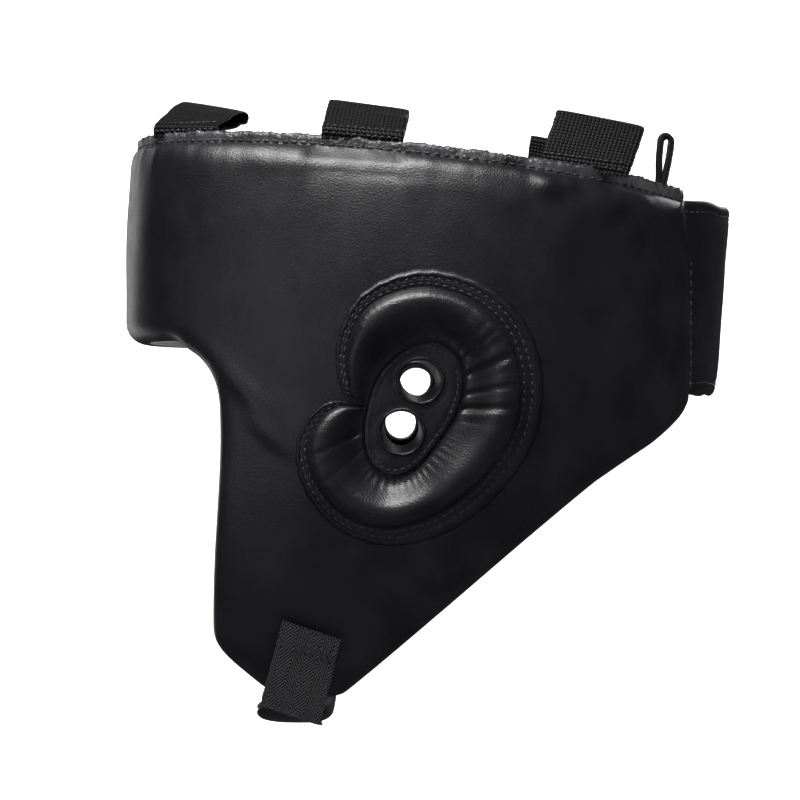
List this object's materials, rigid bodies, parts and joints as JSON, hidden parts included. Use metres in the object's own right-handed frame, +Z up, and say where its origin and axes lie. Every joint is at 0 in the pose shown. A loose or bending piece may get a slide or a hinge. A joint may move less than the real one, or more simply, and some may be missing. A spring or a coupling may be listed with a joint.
{
  "type": "boxing head guard",
  "caption": "Open-face padded martial arts head guard with raised ear guards, crown lace loops, a hook-and-loop rear closure and a chin strap.",
  "frame": {"origin": "middle of the head space, on the guard's mid-plane and level with the wearer's ears", "axes": "+Z up towards the crown, -X the way the wearer faces, -Y towards the wearer's left ear"},
  "size_m": [0.2446, 0.2184, 0.2481],
  "materials": {
    "cover_leather": "satin with a very fine grain",
    "lining_fabric": "soft brushed knit",
    "strap_webbing": "woven",
    "impact_foam": "dense closed-cell foam",
    "comfort_foam": "soft open-cell foam",
    "hook_tape": "moulded hooks",
    "pile_tape": "brushed loops"
  },
  "bodies": {
    "guard": {"outer_cover": "cover_leather", "top_seam": "cover_leather", "lining": "lining_fabric", "forehead_foam": "impact_foam", "left_side_foam": "impact_foam", "right_side_foam": "impact_foam", "comfort_foam": "comfort_foam", "left_chin_tab": "strap_webbing", "right_chin_pile": "pile_tape", "left_ear_flange": "cover_leather", "left_ear_pad": "cover_leather", "left_ear_plate": "cover_leather", "left_ear_hole_liner_upper": "cover_leather", "left_ear_hole_liner_lower": "cover_leather", "left_inner_ear_plate": "lining_fabric", "left_ear_pad_foam": "comfort_foam", "right_ear_flange": "cover_leather", "right_ear_pad": "cover_leather", "right_ear_plate": "cover_leather", "right_ear_hole_liner_upper": "cover_leather", "right_ear_hole_liner_lower": "cover_leather", "right_inner_ear_plate": "lining_fabric", "right_ear_pad_foam": "comfort_foam"},
    "closure_strap": {"rear_strap": "cover_leather", "rear_strap_hook": "hook_tape"},
    "closure_tongue": {"rear_tongue": "cover_leather", "rear_tongue_pile": "pile_tape"},
    "chin_strap": {"chin_pad_cover": "cover_leather", "chin_pad_foam": "comfort_foam", "chin_webbing": "strap_webbing", "chin_webbing_hook": "hook_tape"},
    "hang_loop": {"hang_loop": "strap_webbing"},
    "left_front_loop": {"left_front_loop": "strap_webbing"},
    "left_middle_loop": {"left_middle_loop": "strap_webbing"},
    "left_rear_loop": {"left_rear_loop": "strap_webbing"},
    "right_front_loop": {"right_front_loop": "strap_webbing"},
    "right_middle_loop": {"right_middle_loop": "strap_webbing"},
    "right_rear_loop": {"right_rear_loop": "strap_webbing"}
  },
  "joints": [
    {"name": "closure_strap_open", "type": "hinge", "parent": "guard", "child": "closure_strap", "pos_m": [0.1108, -0.056, 0.04], "axis": [0, 0, -1], "range_deg": [0, 110]},
    {"name": "closure_tongue_fold", "type": "hinge", "parent": "guard", "child": "closure_tongue", "pos_m": [0.1125, 0.041, 0.04], "axis": [0, 0, -1], "range_deg": [0, 20]},
    {"name": "chin_strap_drop", "type": "hinge", "parent": "guard", "child": "chin_strap", "pos_m": [-0.042, -0.0695, -0.119], "axis": [-1, 0, 0], "range_deg": [0, 95]},
    {"name": "left_front_loop_flex", "type": "hinge", "parent": "guard", "child": "left_front_loop", "pos_m": [-0.08206, -0.05922, 0.10439], "axis": [-0.724, 0.6889, 0.0368], "range_deg": [-100, 8], "stiffness_Nm_per_rad": 0.02},
    {"name": "left_middle_loop_flex", "type": "hinge", "parent": "guard", "child": "left_middle_loop", "pos_m": [-0.01404, -0.08298, 0.09954], "axis": [-0.9938, 0.0639, 0.091], "range_deg": [-95, 12], "stiffness_Nm_per_rad": 0.02},
    {"name": "left_rear_loop_flex", "type": "hinge", "parent": "guard", "child": "left_rear_loop", "pos_m": [0.07199, -0.07105, 0.08945], "axis": [-0.9005, -0.4152, 0.129], "range_deg": [-80, 22], "stiffness_Nm_per_rad": 0.02},
    {"name": "right_front_loop_flex", "type": "hinge", "parent": "guard", "child": "right_front_loop", "pos_m": [-0.08206, 0.05922, 0.10439], "axis": [0.724, 0.6889, -0.0368], "range_deg": [-100, 8], "stiffness_Nm_per_rad": 0.02},
    {"name": "right_middle_loop_flex", "type": "hinge", "parent": "guard", "child": "right_middle_loop", "pos_m": [-0.01404, 0.08298, 0.09954], "axis": [0.9938, 0.0639, -0.091], "range_deg": [-95, 12], "stiffness_Nm_per_rad": 0.02},
    {"name": "right_rear_loop_flex", "type": "hinge", "parent": "guard", "child": "right_rear_loop", "pos_m": [0.07199, 0.07105, 0.08945], "axis": [0.9005, -0.4152, -0.129], "range_deg": [-80, 22], "stiffness_Nm_per_rad": 0.02},
    {"name": "hang_loop_flex", "type": "hinge", "parent": "guard", "child": "hang_loop", "pos_m": [0.09728, -0.05495, 0.08503], "axis": [0.7493, 0.6516, -0.1187], "range_deg": [-35, 35], "stiffness_Nm_per_rad": 0.005}
  ]
}
